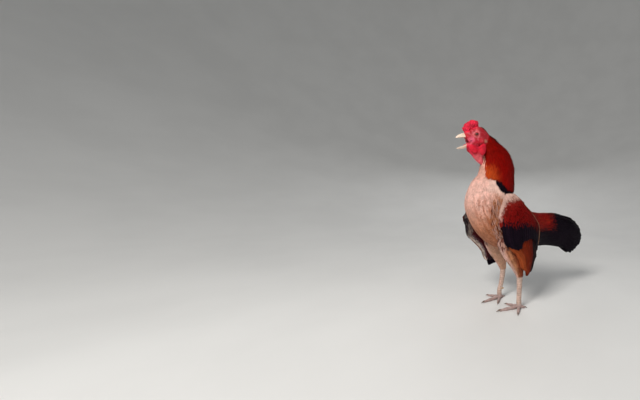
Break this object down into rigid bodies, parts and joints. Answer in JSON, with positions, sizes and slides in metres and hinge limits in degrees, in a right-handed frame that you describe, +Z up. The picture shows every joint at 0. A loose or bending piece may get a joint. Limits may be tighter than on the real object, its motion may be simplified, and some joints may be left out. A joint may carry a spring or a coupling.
{
  "type": "vietnamese bantam chicken",
  "caption": "Life-size still model of a crowing bantam cock, neck upright, beak open and one wing dropped, that stands on its own toes.",
  "frame": {"origin": "on the floor, under the middle of the bird's bounding box", "axes": "the bird faces -X, its left side is at -Y and +Z is up"},
  "size_m": [0.3698, 0.1566, 0.4269],
  "materials": {
    "plumage_buff": "matt feathers, buff and salmon",
    "plumage_red": "silky feathers, mahogany red",
    "plumage_black": "silky feathers, black with a blue sheen",
    "bare_skin": "moist bare skin, crimson",
    "horn": "pale horn, satin",
    "eye": "wet cornea, dark red-brown",
    "leg_scales": "dry scales, pale flesh colour"
  },
  "bodies": {
    "root": {"beak_lower": "horn", "beak_upper": "horn", "claw_left_hind": "horn", "claw_left_inner": "horn", "claw_left_middle": "horn", "claw_left_outer": "horn", "claw_right_hind": "horn", "claw_right_inner": "horn", "claw_right_middle": "horn", "claw_right_outer": "horn", "comb": "bare_skin", "dewlap": "bare_skin", "earlobe_left": "bare_skin", "earlobe_right": "bare_skin", "eye_left": "eye", "eye_right": "eye", "head": "bare_skin", "neck": "plumage_red", "shank_left": "leg_scales", "shank_right": "leg_scales", "spur_left": "horn", "spur_right": "horn", "tail": "plumage_black", "thigh_left": "plumage_buff", "thigh_right": "plumage_buff", "toe_left_hind": "leg_scales", "toe_left_inner": "leg_scales", "toe_left_middle": "leg_scales", "toe_left_outer": "leg_scales", "toe_right_hind": "leg_scales", "toe_right_inner": "leg_scales", "toe_right_middle": "leg_scales", "toe_right_outer": "leg_scales", "tongue": "bare_skin", "torso": "plumage_buff", "wattle_left": "bare_skin", "wattle_right": "bare_skin", "wing_left": "plumage_red", "wing_right": "plumage_red"}
  },
  "joints": []
}
